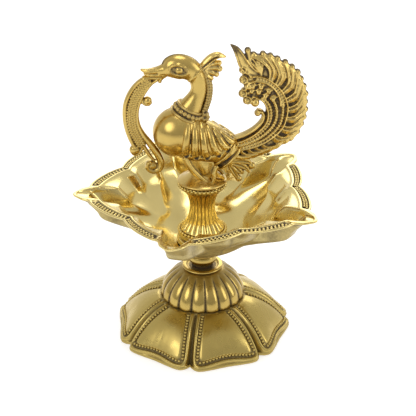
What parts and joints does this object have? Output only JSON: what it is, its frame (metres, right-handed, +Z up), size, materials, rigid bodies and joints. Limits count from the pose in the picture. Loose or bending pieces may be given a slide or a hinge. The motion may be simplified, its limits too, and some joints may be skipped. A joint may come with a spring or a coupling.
{
  "type": "standing oil lamp",
  "caption": "Brass standing oil lamp with a petalled foot, ribbed dome, spouted bowl, reeded pillar and a long-tailed bird finial.",
  "frame": {"origin": "on the lamp's axis in the plane of the foot", "axes": "+Z up along the lamp's axis; -X along the spout that the bird faces, +X towards its tail, +Y to the bird's right side"},
  "size_m": [0.1358, 0.1426, 0.1802],
  "materials": {
    "polished_brass": "polished turned and cast brass with dark patina in the recesses",
    "cast_brass": "cast brass, brushed on the high spots and dark in the detail",
    "plated_steel": "plain zinc-plated steel thread and nut",
    "seal": "oil-darkened leather washer"
  },
  "bodies": {
    "base": {"petal_skirt": "polished_brass", "ribbed_dome": "polished_brass", "dome_collar": "polished_brass", "base_washer": "plated_steel", "base_nut": "plated_steel"},
    "stem_seat": {"stem_washer": "seal"},
    "stem": {"stem_spool": "polished_brass", "stem_stud": "plated_steel", "bowl_gasket_lower": "seal", "bowl": "polished_brass"},
    "bowl_seal": {"bowl_gasket_upper": "seal"},
    "pillar": {"pillar": "polished_brass"},
    "bird_seat": {"bird_washer": "seal"},
    "bird": {"bird_plinth": "polished_brass", "bird_stud": "plated_steel", "bird_body": "cast_brass", "necklace": "cast_brass", "neck_mane": "cast_brass", "crest": "cast_brass", "wing_left": "cast_brass", "wing_right": "cast_brass", "rear_band": "cast_brass", "leg_left": "cast_brass", "leg_right": "cast_brass", "tail": "cast_brass", "lower_plume": "cast_brass", "beak_scroll": "cast_brass"}
  },
  "joints": [
    {"name": "stem_rise", "type": "slide", "parent": "base", "child": "stem_seat", "axis": [0, 0, 1], "range_m": [0, 0.006]},
    {"name": "stem_turn", "type": "hinge", "parent": "stem_seat", "child": "stem", "pos_m": [0, 0, 0.0424], "axis": [0, 0, 1], "range_deg": [0, 2160]},
    {"name": "pillar_rise", "type": "slide", "parent": "stem", "child": "bowl_seal", "axis": [0, 0, 1], "range_m": [0, 0.009]},
    {"name": "pillar_turn", "type": "hinge", "parent": "bowl_seal", "child": "pillar", "pos_m": [0, 0, 0.0586], "axis": [0, 0, 1], "range_deg": [0, 3240]},
    {"name": "bird_rise", "type": "slide", "parent": "pillar", "child": "bird_seat", "axis": [0, 0, 1], "range_m": [0, 0.007]},
    {"name": "bird_turn", "type": "hinge", "parent": "bird_seat", "child": "bird", "pos_m": [0, 0, 0.097], "axis": [0, 0, 1], "range_deg": [0, 2520]}
  ],
  "couplings": [
    {"joint": "stem_turn", "follows": "stem_rise", "rad_per_m": 6283.2},
    {"joint": "pillar_turn", "follows": "pillar_rise", "rad_per_m": 6283.2},
    {"joint": "bird_turn", "follows": "bird_rise", "rad_per_m": 6283.2}
  ]
}
